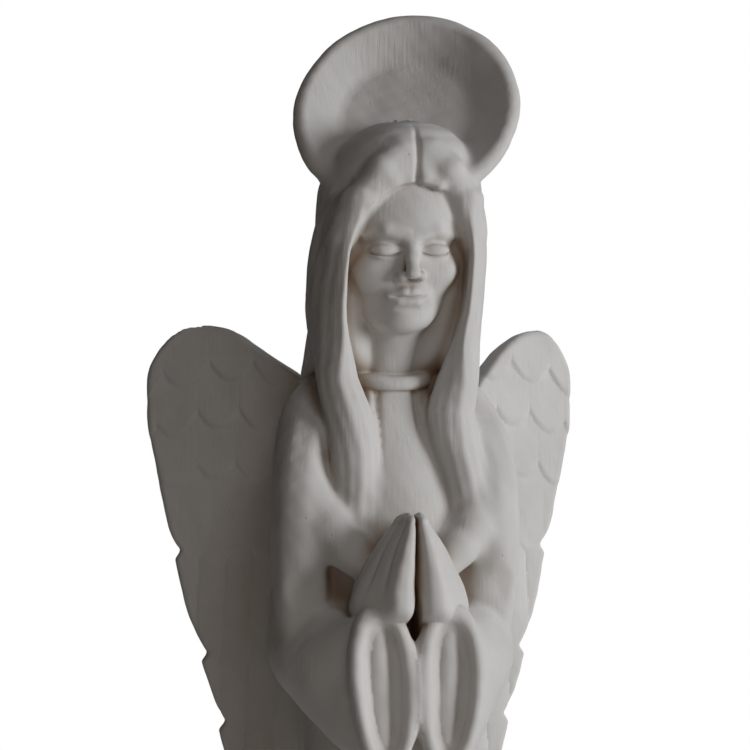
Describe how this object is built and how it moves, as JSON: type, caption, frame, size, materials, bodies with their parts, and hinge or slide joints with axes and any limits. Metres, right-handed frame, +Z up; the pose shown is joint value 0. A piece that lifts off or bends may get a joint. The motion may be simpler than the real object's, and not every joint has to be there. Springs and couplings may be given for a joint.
{
  "type": "angel figurine",
  "caption": "Free-standing praying angel figurine in matt off-white cast resin, with swept-back wings and a dished halo, on a round base.",
  "frame": {"origin": "centre of the felt pad's underside, which the figurine stands on", "axes": "+Z up the figure, -Y the way the figure faces, +X towards the figure's own left hand"},
  "size_m": [0.0886, 0.076, 0.2999],
  "materials": {
    "cast_resin": "matte",
    "felt": "matte",
    "rubber": "matte",
    "steel": "satin"
  },
  "bodies": {
    "root": {"felt_pad": "felt", "base_plinth": "cast_resin", "filler_plug": "rubber", "robe": "cast_resin", "collar_band": "cast_resin", "head": "cast_resin", "neck_dowel": "steel", "hair_crown_and_back": "cast_resin", "halo": "cast_resin", "halo_dowel": "steel", "left_hair_lock": "cast_resin", "right_hair_lock": "cast_resin", "left_sleeve": "cast_resin", "right_sleeve": "cast_resin", "left_hand": "cast_resin", "right_hand": "cast_resin", "left_wing": "cast_resin", "right_wing": "cast_resin", "left_wing_dowel_upper": "steel", "left_wing_dowel_lower": "steel", "right_wing_dowel_upper": "steel", "right_wing_dowel_lower": "steel"}
  },
  "joints": []
}
